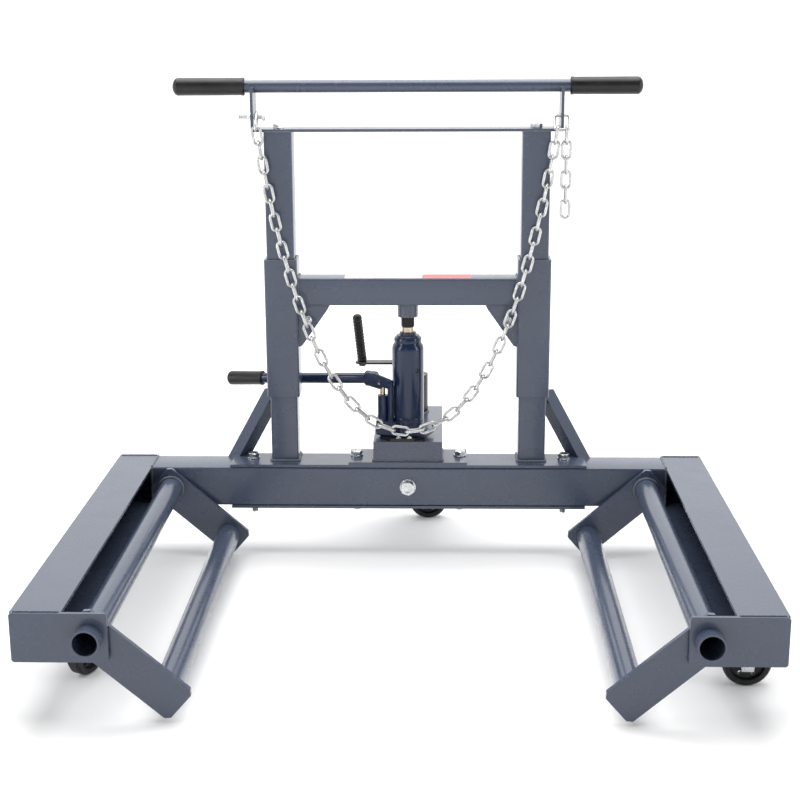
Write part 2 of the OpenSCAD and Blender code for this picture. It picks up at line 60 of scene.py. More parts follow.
# ---------------------------------------------------------------- materials
class Shader:
    """A small helper that wires one node material."""

    def __init__(self, name):
        self.mat = bpy.data.materials.new(name)
        self.mat.use_nodes = True
        self.tree = self.mat.node_tree
        self.bsdf = self.tree.nodes["Principled BSDF"]
        self.coord = self.tree.nodes.new("ShaderNodeTexCoord").outputs["Object"]

    def node(self, kind, inputs=(), **props):
        made = self.tree.nodes.new(kind)
        for key, value in props.items():
            setattr(made, key, value)
        for key, value in dict(inputs).items():
            if isinstance(value, bpy.types.NodeSocket):
                self.tree.links.new(value, made.inputs[key])
            else:
                made.inputs[key].default_value = value
        return made

    def noise(self, scale, detail=4.0, rough=0.55):
        return self.node(
            "ShaderNodeTexNoise",
            {"Vector": self.coord, "Scale": scale, "Detail": detail, "Roughness": rough},
        ).outputs["Fac"]

    def ramp(self, fac, stops):
        made = self.node("ShaderNodeValToRGB", {"Fac": fac})
        ramp = made.color_ramp
        while len(ramp.elements) < len(stops):
            ramp.elements.new(0.5)
        for element, (place, value) in zip(ramp.elements, stops):
            element.position = place
            element.color = (*value, 1.0)
        return made.outputs["Color"]

    def mix(self, fac, a, b):
        made = self.node("ShaderNodeMix", data_type="RGBA")
        for index, value in ((0, fac), (6, a), (7, b)):
            if isinstance(value, bpy.types.NodeSocket):
                self.tree.links.new(value, made.inputs[index])
            else:
                made.inputs[index].default_value = value if index == 0 else (*value, 1.0)
        return made.outputs[2]

    def math(self, operation, a, b=0.0):
        made = self.tree.nodes.new("ShaderNodeMath")
        made.operation = operation
        for index, value in ((0, a), (1, b)):
            if isinstance(value, bpy.types.NodeSocket):
                self.tree.links.new(value, made.inputs[index])
            else:
                made.inputs[index].default_value = value
        return made.outputs[0]

    def bump(self, height, strength, distance, below=None):
        inputs = {"Height": height, "Strength": strength, "Distance": distance}
        if below is not None:
            inputs["Normal"] = below
        return self.node("ShaderNodeBump", inputs).outputs["Normal"]

    def set(self, **sockets):
        for key, value in sockets.items():
            socket = self.bsdf.inputs[key.replace("_", " ")]
            if isinstance(value, bpy.types.NodeSocket):
                self.tree.links.new(value, socket)
            else:
                socket.default_value = value
        return self.mat


def grey(value):
    return (value, value, value)


def painted(name, low, high, chip, rough, peel, coat=0.3, gloss=0.5):
    """Powder coat or enamel: slow tone drift, orange peel, fine dust and a few tiny chips."""
    s = Shader(name)
    tone = s.ramp(s.noise(4.0, 3.0, 0.45), [(0.3, low), (0.7, high)])
    dust = s.ramp(s.noise(95.0, 6.0, 0.7), [(0.55, grey(0.0)), (0.8, grey(0.07))])
    coloured = s.mix(dust, tone, chip)
    specks = s.ramp(s.noise(420.0, 2.0), [(0.75, grey(0.0)), (0.79, grey(0.2))])
    coloured = s.mix(specks, coloured, chip)
    shine = s.ramp(s.noise(18.0, 5.0), [(0.3, grey(rough - 0.03)), (0.7, grey(rough + 0.05))])
    soft = s.bump(s.noise(330.0, 2.0, 0.4), peel, 0.00025)
    fine = s.bump(s.noise(1500.0, 2.0, 0.5), peel * 0.5, 0.0001, soft)
    return s.set(
        Base_Color=coloured, Roughness=shine, Normal=fine, Coat_Weight=coat, Coat_Roughness=0.12,
        Specular_IOR_Level=gloss,
    )


def plated(name, low, high, rough, grain):
    """Zinc or galvanised steel: patchy crystals, dull spots and fine grain."""
    s = Shader(name)
    cells = s.node("ShaderNodeTexVoronoi", {"Vector": s.coord, "Scale": 420.0}).outputs["Distance"]
    patch = s.math("ADD", s.math("MULTIPLY", cells, 0.35), s.math("MULTIPLY", s.noise(90.0), 0.75))
    tone = s.ramp(patch, [(0.3, low), (0.7, high)])
    shine = s.ramp(s.noise(160.0, 5.0), [(0.3, grey(rough - 0.07)), (0.7, grey(rough + 0.12))])
    normal = s.bump(s.noise(900.0, 3.0), grain, 0.0002)
    return s.set(Base_Color=tone, Roughness=shine, Normal=normal, Metallic=1.0)


def polished(name, low, high):
    """Ground and polished rod: fine rings round the axis and a warm film of oil."""
    s = Shader(name)
    rings = s.node(
        "ShaderNodeTexWave",
        {"Vector": s.coord, "Scale": 700.0, "Distortion": 1.5, "Detail": 2.0},
        bands_direction="Z",
    ).outputs["Fac"]
    tone = s.ramp(s.noise(45.0), [(0.35, low), (0.65, high)])
    shine = s.ramp(s.noise(80.0), [(0.3, grey(0.12)), (0.7, grey(0.24))])
    return s.set(
        Base_Color=tone, Roughness=shine, Normal=s.bump(rings, 0.12, 0.0001), Metallic=1.0
    )


def moulded(name, low, high, rough, grain):
    """Soft vinyl or rubber: fine skin grain with dusty and rubbed patches."""
    s = Shader(name)
    tone = s.ramp(s.noise(22.0, 6.0, 0.65), [(0.35, low), (0.75, high)])
    shine = s.ramp(s.noise(34.0, 4.0), [(0.3, grey(rough - 0.08)), (0.7, grey(rough + 0.1))])
    normal = s.bump(s.noise(700.0, 3.0, 0.6), grain, 0.0003)
    return s.set(Base_Color=tone, Roughness=shine, Normal=normal, Specular_IOR_Level=0.35)


def printed(name, low, high):
    """A plain adhesive patch with faint print mottle and no lettering."""
    s = Shader(name)
    tone = s.ramp(s.noise(160.0, 5.0), [(0.3, low), (0.7, high)])
    normal = s.bump(s.noise(60.0, 3.0), 0.1, 0.0002)
    return s.set(Base_Color=tone, Roughness=0.38, Normal=normal, Coat_Weight=0.3)


MAT = {
    "frame_paint": painted(
        "frame_paint", (0.045, 0.059, 0.097), (0.052, 0.067, 0.108), (0.13, 0.15, 0.2), 0.26, 0.11
    ),
    "jack_paint": painted(
        "jack_paint", (0.008, 0.017, 0.050), (0.011, 0.022, 0.060), (0.05, 0.06, 0.11), 0.16, 0.16, 0.25, 0.3
    ),
    "black_paint": painted(
        "black_paint", (0.004, 0.004, 0.005), (0.008, 0.008, 0.009), (0.04, 0.04, 0.045), 0.26, 0.2, 0.1, 0.3
    ),
    "zinc_plate": plated("zinc_plate", (0.44, 0.46, 0.49), (0.66, 0.68, 0.68), 0.24, 0.2),
    "galvanised": plated("galvanised", (0.40, 0.41, 0.41), (0.66, 0.66, 0.65), 0.30, 0.5),
    "bright_steel": polished("bright_steel", (0.34, 0.25, 0.17), (0.56, 0.49, 0.41)),
    "grip_vinyl": moulded("grip_vinyl", (0.006, 0.006, 0.007), (0.014, 0.014, 0.015), 0.34, 0.25),
    "wheel_black": moulded("wheel_black", (0.005, 0.005, 0.005), (0.012, 0.012, 0.012), 0.42, 0.4),
    "weld": painted("weld", (0.07, 0.08, 0.11), (0.09, 0.10, 0.135), (0.2, 0.21, 0.25), 0.3, 0.5),
}
SLOT_OF = {e["node"]: e["material_slot"] for e in frame["record"]["subparts"]}


# ---------------------------------------------------------------- mesh helpers
def link_mesh(name, bm, material):
    """Puts a bmesh into the scene as an object with one material."""
    mesh = bpy.data.meshes.new(name)
    bm.to_mesh(mesh)
    bm.free()
    obj = bpy.data.objects.new(name, mesh)
    bpy.context.scene.collection.objects.link(obj)
    mesh.materials.append(material)
    return obj


def add_piece(name, bm, body, material, replaced=(), smooth=35.0, bevel=0.0):
    """Turns a bmesh in row-frame metres into a piece that rides on a body."""
    bmesh.ops.recalc_face_normals(bm, faces=bm.faces)
    obj = link_mesh(name, bm, MAT[material])
    shade(obj, smooth)
    if bevel:
        soften(obj, bevel)
    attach(obj, body)
    if replaced:
        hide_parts(*replaced)
    return obj


def shade(obj, angle):
    """Smooth shading, kept sharp across edges over the angle in degrees."""
    mesh = obj.data
    mesh.shade_smooth()
    bm = bmesh.new()
    bm.from_mesh(mesh)
    limit = math.radians(angle)
    for edge in bm.edges:
        if len(edge.link_faces) == 2:
            edge.smooth = edge.calc_face_angle(0.0) < limit
    bm.to_mesh(mesh)
    bm.free()


def soften(obj, width):
    """A small rounding of every sharp edge, in millimetres."""
    made = obj.modifiers.new("edge_round", "BEVEL")
    made.width = width * MM
    made.segments = 2
    made.limit_method = "ANGLE"
    made.angle_limit = math.radians(35)
    made.use_clamp_overlap = True
    made.harden_normals = True


def place(at, axis=(0, 0, 1), turn=0.0):
    """A matrix that carries local +Z to axis and the local origin to at."""
    spin = Matrix.Rotation(turn, 4, "Z")
    return Matrix.Translation(at) @ Vector(axis).to_track_quat("Z", "Y").to_matrix().to_4x4() @ spin


def skin(bm, pairs):
    """Joins each pair of rings of vertices with a band of quads."""
    for a, b in pairs:
        for i in range(len(a)):
            j = (i + 1) % len(a)
            bm.faces.new((a[i], a[j], b[j], b[i]))


def solid(bm, rows):
    """Closes a stack of rings: both ends first, then the sides."""
    bm.faces.new(rows[0])
    bm.faces.new(rows[-1])
    skin(bm, zip(rows, rows[1:]))


def lathe(bm, profile, matrix, steps=64, closed=False):
    """Turns (radius, height) pairs in mm about local Z."""
    rings = []
    for radius, height in profile:
        if radius < 1e-6:
            rings.append([bm.verts.new(matrix @ Vector((0, 0, height * MM)))])
            continue
        ring = []
        for i in range(steps):
            a = 2 * math.pi * i / steps
            across = (radius * MM * math.cos(a), radius * MM * math.sin(a))
            ring.append(bm.verts.new(matrix @ Vector((*across, height * MM))))
        rings.append(ring)
    pairs = list(zip(rings, rings[1:]))
    if closed:
        pairs.append((rings[-1], rings[0]))
    for a, b in pairs:
        if len(a) == 1 and len(b) == 1:
            continue
        for i in range(steps):
            j = (i + 1) % steps
            if len(a) == 1:
                bm.faces.new((a[0], b[i], b[j]))
            elif len(b) == 1:
                bm.faces.new((a[i], b[0], a[j]))
            else:
                bm.faces.new((a[i], b[i], b[j], a[j]))
    return bm


def rounded_square(width, depth, radius, steps=5):
    """Corner points of a rounded rectangle in mm, anticlockwise."""
    points = []
    for sx, sy, start in ((1, 1, 0), (-1, 1, 90), (-1, -1, 180), (1, -1, 270)):
        cx, cy = sx * (width / 2 - radius), sy * (depth / 2 - radius)
        for i in range(steps + 1):
            a = math.radians(start + 90 * i / steps)
            points.append((cx + radius * math.cos(a), cy + radius * math.sin(a)))
    return points


def tube_box(bm, width, depth, wall, length, matrix, radius=4.0, cap=0.0):
    """A hollow square tube along local Z with rounded corners and a slightly broken end edge."""
    nick = 0.5
    least_inner_radius = 0.6
    outer = rounded_square(width, depth, radius)
    nicked = rounded_square(width - 2 * nick, depth - 2 * nick, radius - nick)
    inner = rounded_square(
        width - 2 * wall, depth - 2 * wall, max(radius - wall, least_inner_radius)
    )
    rows = [(inner, 0), (nicked, 0), (outer, nick), (outer, length - nick), (nicked, length)]
    if not cap:
        rows += [(inner, length)]
    made = [
        [bm.verts.new(matrix @ Vector((x * MM, y * MM, z * MM))) for x, y in row] for row, z in rows
    ]
    pairs = list(zip(made, made[1:]))
    if cap:
        bm.faces.new(made[-1])
        deep = [bm.verts.new(matrix @ Vector((x * MM, y * MM, (length - cap) * MM))) for x, y in inner]
        bm.faces.new(deep)
        pairs.append((deep, made[0]))
    else:
        pairs.append((made[-1], made[0]))
    skin(bm, pairs)
    return bm


def bead(bm, points, radius, closed=False):
    """A weld bead: a rippled rope of metal laid along a line of points in mm."""
    sides = 8
    step = 1.0
    ripple = 0.25
    unevenness = 0.08
    end_size = 0.45
    line = [pt(*p) for p in points]
    if closed:
        line.append(line[0])
    steps = []
    for a, b in zip(line, line[1:]):
        count = max(1, int((b - a).length / (step * MM)))
        steps += [a.lerp(b, i / count) for i in range(count)]
    if not closed:
        steps.append(line[-1])
    rings = []
    total = len(steps)
    for i, at in enumerate(steps):
        ahead = steps[(i + 1) % total] if closed or i < total - 1 else at
        behind = steps[i - 1] if closed or i else at
        along = (ahead - behind).normalized()
        across = along.orthogonal().normalized()
        other = along.cross(across)
        swell = ripple * abs(math.sin(math.pi * i / 3))
        size = radius * (1 + swell + random.uniform(-unevenness, unevenness))
        if not closed and i in (0, total - 1):
            size *= end_size
        ring = []
        for k in range(sides):
            a = 2 * math.pi * k / sides
            out = across * math.cos(a) + other * math.sin(a)
            ring.append(bm.verts.new(at + size * MM * out))
        rings.append(ring)
    pairs = list(zip(rings, rings[1:]))
    if closed:
        pairs.append((rings[-1], rings[0]))
    else:
        bm.faces.new(rings[0])
        bm.faces.new(rings[-1])
    for a, b in pairs:
        # each ring starts where its own cross direction points, so the nearest start is used
        shift = min(range(sides), key=lambda k: (a[0].co - b[k].co).length)
        skin(bm, [(a, b[shift:] + b[:shift])])
    return bm


def flat_ring(x, y, z, radius, step):
    """Points in mm on a level circle, one every step degrees."""
    turns = [math.radians(a) for a in range(0, 360, step)]
    return [(x + radius * math.cos(a), y + radius * math.sin(a), z) for a in turns]


def upright_ring(x, y, z, radius, step):
    """Points in mm on a circle that faces along y, one every step degrees."""
    turns = [math.radians(a) for a in range(0, 360, step)]
    return [(x + radius * math.cos(a), y, z + radius * math.sin(a)) for a in turns]


def hexagon(bm, af, low, high, matrix, dome=0.0):
    """A bolt head or nut with its corners turned off, from local z low to high in mm."""
    steps = 48
    across = af / math.sqrt(3)
    lift = (across - af / 2) * 0.55
    rows = []

    def ring(radius, height):
        verts = []
        for i in range(steps):
            a = 2 * math.pi * i / steps
            r, z = radius(a) * MM, height(a) * MM
            verts.append(bm.verts.new(matrix @ Vector((r * math.cos(a), r * math.sin(a), z))))
        rows.append(verts)

    def flat(a):
        return af / 2 / math.cos((a + math.pi / 6) % (math.pi / 3) - math.pi / 6)

    def corner(a):
        return (flat(a) - af / 2) / (across - af / 2)

    ring(lambda a: af / 2 - 0.5, lambda a: low)
    ring(flat, lambda a: low + 0.3 + 0.5 * corner(a))
    ring(flat, lambda a: high - 0.4 - lift * corner(a))
    ring(lambda a: af / 2 - 0.4, lambda a: high)
    if dome:
        ring(lambda a: af * 0.34, lambda a: high)
        ring(lambda a: af * 0.30, lambda a: high - dome)
    solid(bm, rows)
    return bm


def thread(bm, d, low, high, matrix, pitch=1.75):
    """A threaded end: turned ridges at the screw's pitch, with a bevelled tip."""
    tip = 1.2
    r, core = d / 2, d / 2 - 0.55 * pitch
    profile = [(0, low), (r - tip, low)]
    count = int((high - low - 1.5) / pitch)
    for i in range(count):
        base = low + tip + i * pitch
        profile += [(core, base), (r, base + pitch / 2)]
    profile += [(r, high), (0, high)]
    return lathe(bm, profile, matrix, 28)


def washer(bm, d, hole, low, high, matrix):
    """A round washer with broken edges, from local z low to high in mm."""
    return lathe(
        bm,
        [(hole / 2, low), (d / 2 - 0.4, low), (d / 2, low + 0.4), (d / 2, high - 0.4),
         (d / 2 - 0.4, high), (hole / 2, high)],
        matrix, 40, closed=True,
    )


# ---------------------------------------------------------------- carried-over CAD nodes
ROUNDING = {
    "side_channel_left": 1.6, "side_channel_right": 1.6, "front_plate_left": 0.9,
    "front_plate_right": 0.9, "rear_plates": 0.9, "mast_plate": 0.8, "bottom_plate": 0.8,
    "brace_left": 0.9, "brace_right": 0.9, "handle_bracket": 1.0, "tongue": 1.4,
    "tongue_plate": 0.8, "gussets": 0.8, "swing_frame_left": 1.0, "swing_frame_right": 1.0,
    "jockey_column": 1.2, "crank_arm": 1.0, "jack_foot": 0.9, "ram_socket": 1.6,
    "caster_mounts": 0.7, "jockey_tube": 0.8, "fork_left": 0.8, "fork_right": 0.8,
    "jockey_fork": 0.8, "roller_left": 1.2, "roller_right": 1.2, "pump_cylinder": 1.0,
    "pump_plunger": 0.7, "oil_plug": 0.6, "pump_handle": 0.8, "ram": 0.8,
}
for name, node in NODES.items():
    while len(node.data.materials) < 1:
        node.data.materials.append(None)
    for index in range(len(node.data.materials)):
        node.data.materials[index] = MAT[SLOT_OF[name]]
    if name in ROUNDING:
        soften(node, ROUNDING[name])


def cast(node, voxel, passes):
    """Gives a CAD casting the soft fillets of a sand casting."""
    remesh = node.modifiers.new("skin", "REMESH")
    remesh.mode = "VOXEL"
    remesh.voxel_size = voxel * MM
    remesh.use_smooth_shade = True
    flow = node.modifiers.new("flow", "SMOOTH")
    flow.factor = 0.5
    flow.iterations = passes


cast(NODES["jack_base"], 0.9, 5)

# ---------------------------------------------------------------- square tubes
POST_X, POST_Y = 230.0, 49.0
DECK = 178.0
BEAM_Z = 135.5
CROSSBAR_Z = 499
CROSSBAR_TOP = 524
for side, s in (("left", -1), ("right", 1)):
    bm = tube_box(bmesh.new(), 50, 50, 3, 609, place(pt(s * POST_X, POST_Y, DECK)), 3.5, cap=6)
    add_piece(f"post_{side}_tube", bm, "base", "frame_paint", [f"post_{side}"])
    bm = tube_box(bmesh.new(), 60, 60, 4, 256, place(pt(s * POST_X, POST_Y, 303)), 4.0)
    add_piece(f"sleeve_{side}_tube", bm, "carriage", "frame_paint", [f"sleeve_{side}"])
bm = tube_box(bmesh.new(), 50, 50, 3, 400, place(pt(-200, POST_Y, CROSSBAR_Z), (1, 0, 0)), 3.5)
add_piece("lift_crossbar_tube", bm, "carriage", "frame_paint", ["lift_crossbar"])
bm = tube_box(bmesh.new(), 75, 75, 4, 956, place(pt(-478, 37.5, BEAM_Z), (1, 0, 0)), 4.5)
add_piece("crossbeam_tube", bm, "base", "frame_paint", ["crossbeam"])

# ---------------------------------------------------------------- handlebar and grips
BAR_HALF = 289
BAR_Z = 865


def grip_profile(length, radius, bore):
    """Half section of a dipped grip: open mouth with a lip, rounded closed end."""
    side = radius - 0.1
    nose = radius * 0.62
    profile = [(bore, 1.5), (bore + 0.8, 0.0), (radius - 1.2, 0.0), (radius + 0.2, 1.0),
               (radius + 0.2, 4.0), (radius - 0.5, 6.0), (side, length - nose)]
    for i in range(1, 9):
        a = math.radians(90 * i / 8)
        profile.append((side * math.cos(a), length - nose * (1 - math.sin(a))))
    profile[-1] = (0, length)
    return profile


for side, s in (("left", -1), ("right", 1)):
    start = pt(s * BAR_HALF, POST_Y, BAR_Z)
    bm = lathe(bmesh.new(), grip_profile(128, 15.7, 11.2), place(start, (s, 0, 0)))
    add_piece(f"grip_{side}_vinyl", bm, "base", "grip_vinyl", [f"grip_{side}"])
bm = lathe(
    bmesh.new(), [(8.5, 0), (10.5, 0), (11, 0.5), (11, 577.5), (10.5, 578), (8.5, 578)],
    place(pt(-BAR_HALF, POST_Y, BAR_Z), (1, 0, 0)), closed=True,
)
add_piece("handlebar_tube", bm, "base", "frame_paint", ["handlebar"])

# ---------------------------------------------------------------- jack
JACK_TURN = math.radians(-21)
JACK_Z = 221.0
PIN_Z = 107.0
LEVER_DROOP = math.radians(5)


def jack(x, y, z):
    """A point of the turned jack, in drawing millimetres."""
    return (
        x * math.cos(JACK_TURN) - y * math.sin(JACK_TURN),
        POST_Y + x * math.sin(JACK_TURN) + y * math.cos(JACK_TURN),
        JACK_Z + z,
    )


up = place(pt(0, POST_Y, 0))
jack_up = place(pt(0, POST_Y, JACK_Z))
bm = lathe(
    bmesh.new(),
    [(0, 34), (29.2, 34), (29.5, 34.6), (29.5, 38), (28.9, 39), (28.9, 41), (29.5, 42),
     (29.5, 167), (29.2, 170.5), (28.2, 174.3), (26.4, 177.6), (25.2, 179.0), (24.6, 181), (0, 181)],
    jack_up, 96,
)
add_piece("jack_cylinder_shell", bm, "base", "jack_paint", ["jack_cylinder"], smooth=28)
bm = lathe(
    bmesh.new(),
    [(11.1, 181), (25.0, 181), (25.0, 189), (24.2, 190.4), (21.6, 191), (21.6, 193.2), (20.6, 194.2),
     (16.4, 194.6), (15.6, 195.6), (15.6, 198.6), (14.6, 199.8), (11.1, 200)],
    jack_up, 96, closed=True,
)
for k in range(6):
    a = math.radians(60 * k + 14)
    notch = place(pt(23.4 * math.cos(a), POST_Y + 23.4 * math.sin(a), JACK_Z + 186), (0, 0, 1), a)
    bmesh.ops.create_cube(bm, size=1.0, matrix=notch @ Matrix.Diagonal((0.0042, 0.006, 0.006, 1)))
add_piece("jack_cap_nut", bm, "base", "jack_paint", ["jack_cap"], bevel=0.4)

profile = [(0, 430), (10.8, 430), (12.5, 431.4)]
for k in range(5):
    z = 432 + k * 3.4
    profile += [(12.5, z), (12.5, z + 2.0), (11.3, z + 2.7), (11.3, z + 3.2)]
profile += [(12.5, 449), (12.2, 449.6), (9, 449.7), (9, 463.4), (8.4, 464), (0, 464)]
add_piece("extension_screw_threads", lathe(bmesh.new(), profile, up, 64), "ram", "black_paint",
          ["extension_screw"])

lever = (
    Matrix.Translation(pt(*jack(-24, -27, PIN_Z)))
    @ Matrix.Rotation(JACK_TURN, 4, "Z")
    @ Matrix.Rotation(-LEVER_DROOP, 4, "Y")
)


def on_lever(x, y, z):
    """A point given in mm from the lever's hinge, along the lever's own axes."""
    return lever @ Vector((x * MM, y * MM, z * MM))


lever_out = (lever.to_3x3() @ Vector((-1, 0, 0))).normalized()
bm = lathe(bmesh.new(), grip_profile(77, 13.7, 10.2), place(on_lever(-265, 0, 8), lever_out))
add_piece("handle_grip_vinyl", bm, "pump_lever", "grip_vinyl", ["handle_grip"])


def lever_plate(bm, outline, y0, y1):
    """A flat of the lever casting: an outline in its XZ plane, between two depths."""
    nick = 0.7
    middle = Vector((sum(x for x, _ in outline), sum(z for _, z in outline))) / len(outline)
    rows = []
    for y, shrink in ((y0, nick), (y0 + nick, 0.0), (y1 - nick, 0.0), (y1, nick)):
        row = []
        for x, z in outline:
            out = Vector((x, z)) - middle
            away = out * max(0.0, 1 - shrink / max(out.length, 0.1)) + middle
            row.append(bm.verts.new(on_lever(away.x, y, away.y)))
        rows.append(row)
    solid(bm, rows)


def capsule(x0, z0, r0, x1, z1, r1, steps=12):
    """Outline of a tapering bar with round ends, from one pin to another."""
    along = math.atan2(z1 - z0, x1 - x0)
    points = []
    for i in range(steps + 1):
        a = along + math.pi / 2 + math.pi * i / steps
        points.append((x0 + r0 * math.cos(a), z0 + r0 * math.sin(a)))
    for i in range(steps + 1):
        a = along - math.pi / 2 + math.pi * i / steps
        points.append((x1 + r1 * math.cos(a), z1 + r1 * math.sin(a)))
    return points


bm = bmesh.new()
mouth = place(on_lever(-26, 0, 8), lever_out)
lathe(
    bm,
    [(0, -2), (9, -1.6), (12, 0.4), (13.2, 3), (13.4, 14), (14.4, 15), (14.6, 16), (14.6, 20.6),
     (14.0, 21.8), (10.4, 22), (10.2, 8), (0, 8)],
    mouth, 56,
)
lever_plate(bm, capsule(-37, 9, 12.5, -17, -1, 8.5), -15, -8.2)
lever_plate(bm, capsule(-27, 12, 8.5, 0, 0, 9.2), -14.6, -8.6)
lever_plate(bm, capsule(-38, 6, 8, -32, 5, 7), -12, 1)
for x, r in ((0, 6.4), (-16, 5.4)):
    lathe(
        bm,
        [(3.2, 7.8), (r + 2, 8), (r + 2, 15.2), (r + 1.4, 15.8), (3.2, 15.8)],
        place(on_lever(x, 0, 0), (lever.to_3x3() @ Vector((0, -1, 0)))), 40, closed=True,
    )
add_piece("pump_lever_casting", bm, "pump_lever", "jack_paint", ["pump_lever"], bevel=0.3)

# ---------------------------------------------------------------- fasteners
BOLT_Y = 46.0
CHAIN_BOLT_AT = (-272, 32, 814)
bolts, nuts = bmesh.new(), bmesh.new()
for x, seat in ((-292, 178), (292, 178), (-97, 183), (97, 183)):
    at = place(pt(x, BOLT_Y, 0), (0, 0, 1), math.radians(random.uniform(0, 60)))
    washer(bolts, 24, 12.2, seat, seat + 2.5, at)
    hexagon(bolts, 19, seat + 2.5, seat + 10, at, dome=0.4)
    low = seat - 106
    lathe(bolts, [(0, low + 24), (5.9, low + 24), (5.9, seat + 3), (0, seat + 3)], at, 32)
    thread(bolts, 12, -low - 25, -low, place(pt(x, BOLT_Y, 0), (0, 0, -1)))
    turn = place(pt(x, BOLT_Y, 0), (0, 0, 1), math.radians(random.uniform(0, 60)))
    hexagon(nuts, 19, 83, 93, turn)
    for level in (83.0, 92.6):
        washer(nuts, 16.5, 12.1, level, level + 0.4, turn)
add_piece("base_bolt_set", bolts, "base", "zinc_plate", ["base_bolts"])
add_piece("base_nut_set", nuts, "base", "zinc_plate", ["base_nuts"])

bm = bmesh.new()
front = place(pt(0, 0, BEAM_Z), (0, -1, 0), 0.2)
washer(bm, 30, 16.2, 0, 3, front)
hexagon(bm, 24, 3, 13, front, dome=0.5)
lathe(bm, [(0, -22), (7.4, -22), (8, -21.2), (8, 3.5), (0, 3.5)], front, 36)
add_piece("centre_bolt_set", bm, "base", "zinc_plate", ["centre_bolt"])

bm = bmesh.new()
for s in (-1, 1):
    at = place(pt(s * POST_X, POST_Y, 792), (0, 0, 1), 0.3 + s * 0.2)
    hexagon(bm, 19, 0, 7.5, at, dome=0.4)
    lathe(bm, [(0, -24), (5.2, -24), (6, -23), (6, 0.5), (0, 0.5)], at, 32)
add_piece("post_bolt_set", bm, "base", "zinc_plate", ["post_bolts"])

bm = bmesh.new()
for s in (-1, 1):
    at = place(pt(s * 183, 30, 446), (0, -1, 0), 0.35 * s)
    washer(bm, 15.5, 8.2, 0, 0.9, at)
    hexagon(bm, 13, 0.9, 5.5, at, dome=0.3)
    hexagon(bm, 13, -12.5, -6, at)
    lathe(bm, [(0, -20), (3.4, -20), (4, -19.3), (4, 1), (0, 1)], at, 28)
add_piece("gusset_bolt_set", bm, "carriage", "zinc_plate", ["gusset_bolts"])

bm = bmesh.new()
across = place(pt(*CHAIN_BOLT_AT), (1, 0, 0), 0.25)
hexagon(bm, 13, 15, 20.5, across)
hexagon(bm, 13, -12, -5, across, dome=0.3)
lathe(bm, [(0, -26), (3.4, -26), (4, -25.4), (4, 15.6), (3.4, 16), (0, 16)], across, 28)
thread(bm, 8, 11.5, 26, place(pt(*CHAIN_BOLT_AT), (-1, 0, 0)), 1.25)
add_piece("chain_bolt_set", bm, "base", "zinc_plate", ["chain_bolt"])

bm = bmesh.new()
for x in (-17, 3):
    for y in (13, 85):
        at = place(pt(x, y, 218), (0, 0, 1), 0.2 * x)
        lathe(
            bm,
            [(0, -12), (3.4, -12), (4, -11.3), (4, 6), (5.5, 6.2), (5.5, 9.4), (5.1, 10.4), (4.2, 11),
             (3.1, 11), (2.7, 10.6), (2.7, 8), (0, 8)],
            at, 36,
        )
add_piece("jack_bolt_set", bm, "base", "zinc_plate", ["jack_bolts"])

# ---------------------------------------------------------------- crank
COLUMN_X, COLUMN_Y = 10.0, 225
ARM_TIP, ARM_HEEL, ARM_WIDE = -108, 24, 26
PEG_X, PEG_Z = -94, 322
PEG_LEAN = math.radians(-6)
bm = bmesh.new()
crank = place(pt(COLUMN_X, COLUMN_Y, 0))
lathe(
    bm,
    [(0, 200), (7.4, 200), (8, 200.8), (8, 298.4), (12.4, 298.6), (13, 299.3), (13, 306), (12.2, 307.4),
     (12.2, 311), (13, 312), (13, 318.4), (12.2, 319.4), (0, 319.4)],
    crank, 56,
)
outline = rounded_square(ARM_HEEL - ARM_TIP, ARM_WIDE, 12.5, 10)
middle = (ARM_TIP + ARM_HEEL) / 2
levels = []
for inset, z in ((0.7, 319), (0, 319.7), (0, 322.3), (0.7, 323)):
    along, across_it = 1 - 2 * inset / (ARM_HEEL - ARM_TIP), 1 - 2 * inset / ARM_WIDE
    levels.append(
        [bm.verts.new(pt(middle + x * along, COLUMN_Y + y * across_it, z)) for x, y in outline]
    )
solid(bm, levels)
peg_axis = Vector((math.sin(PEG_LEAN), 0, math.cos(PEG_LEAN)))
peg = place(pt(PEG_X, COLUMN_Y, PEG_Z), peg_axis)
lathe(bm, [(0, 0), (4, 0), (4, 83.6), (3.5, 84), (0, 84)], peg, 28)
hexagon(bm, 13, -8, -3.2, place(pt(PEG_X, COLUMN_Y, PEG_Z)))
washer(bm, 17, 7.8, 0.6, 2.2, peg)
hexagon(bm, 10, 323, 326, crank)
add_piece("crank_casting", bm, "crank", "black_paint", ["crank_arm"])

profile = [(4.2, 3), (8.6, 3), (9.5, 4), (9.5, 7), (8.9, 8)]
for k in range(12):
    z = 9 + k * 6.4
    profile += [(9.4, z), (9.4, z + 3.6), (8.5, z + 4.4), (8.5, z + 5.8)]
profile += [(9.3, 86)]
for k in range(1, 9):
    a = math.radians(90 * k / 8)
    profile.append((9.3 * math.cos(a), 88.5 + 8.3 * math.sin(a)))
profile[-1] = (0, 96.8)
add_piece("crank_grip_ribbed", lathe(bmesh.new(), profile, peg, 48), "crank_grip", "grip_vinyl",
          ["crank_grip"])

# ---------------------------------------------------------------- casters
TRAIL = 26.0
CASTER_TOP = 98
AXLE_DROP = 60.5


def caster(x, y, turn):
    """The frame of a caster: origin on its swivel axis under the base, +X towards the wheel."""
    return Matrix.Translation(pt(x, y, CASTER_TOP)) @ Matrix.Rotation(math.radians(turn), 4, "Z")


